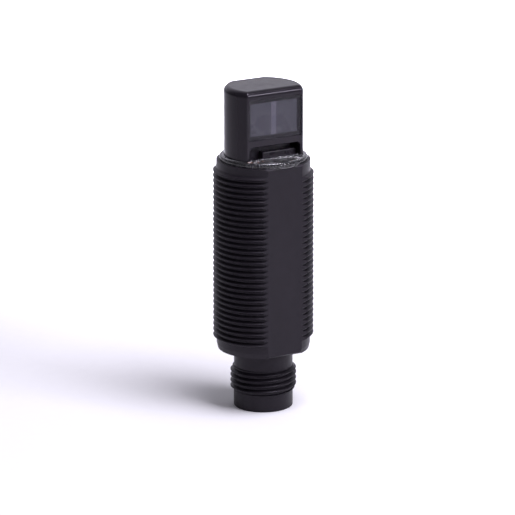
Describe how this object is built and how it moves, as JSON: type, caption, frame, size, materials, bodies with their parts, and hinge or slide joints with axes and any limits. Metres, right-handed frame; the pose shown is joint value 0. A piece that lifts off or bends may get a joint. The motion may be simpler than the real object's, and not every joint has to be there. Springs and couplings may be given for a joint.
{
  "type": "photoelectric sensor",
  "caption": "Cylindrical photoelectric sensor: threaded barrel with flats, right-angle optical head on a clear indicator ring, and a threaded round plug below.",
  "frame": {"origin": "on the barrel's axis, at the end face of the plug", "axes": "+Z along the barrel towards the optical head, -Y the way the optics look"},
  "size_m": [0.0176, 0.0154, 0.0582],
  "materials": {
    "housing": "black moulded polyester, satin",
    "head_housing": "black moulded polyester, fine satin",
    "plug_housing": "black moulded polyester, satin",
    "carrier": "black moulded plastic, matt",
    "clear_ring": "clear polycarbonate, polished",
    "smoked_pane": "smoked acrylic, polished",
    "lens": "grey-blue filter plastic, satin",
    "divider": "light grey plastic",
    "board": "black solder mask",
    "emitter_chip": "moulded resin",
    "photodiode": "dark filter resin",
    "tin": "tin plate",
    "trimmer": "blue moulded plastic",
    "adjuster": "grey moulded plastic, satin",
    "seal": "black rubber",
    "chip": "black moulding compound",
    "capacitor": "tan ceramic",
    "flex": "amber polyimide film",
    "amber_light": "amber tinted resin",
    "green_light": "green tinted resin",
    "insert": "black insulator, matt",
    "contact": "gold flash over brass",
    "wire": "insulated wire"
  },
  "bodies": {
    "housing": {"barrel": "housing", "light_ring": "clear_ring", "head_cover": "head_housing", "front_window": "smoked_pane", "lens_emitter": "lens", "lens_receiver": "lens", "lens_divider": "divider", "optics_carrier": "carrier", "optics_board": "board", "emitter_led": "emitter_chip", "receiver_photodiode": "photodiode", "receiver_shield": "tin", "trimmer_body": "trimmer", "adjuster_seal": "seal", "main_board": "board", "controller_chip": "chip", "output_transistors": "chip", "capacitors": "capacitor", "board_link_flex": "flex", "led_board": "board", "output_led": "amber_light", "power_led": "green_light", "plug_shell": "plug_housing", "plug_gasket": "seal", "contact_insert": "insert", "contact_pins": "contact", "lead_wires": "wire"},
    "adjuster": {"sensitivity_adjuster": "adjuster"}
  },
  "joints": [
    {"name": "adjuster_turn", "type": "hinge", "parent": "housing", "child": "adjuster", "pos_m": [0, 0.00605, 0.05301], "axis": [0, 1, 0], "range_deg": [-135, 135]}
  ]
}
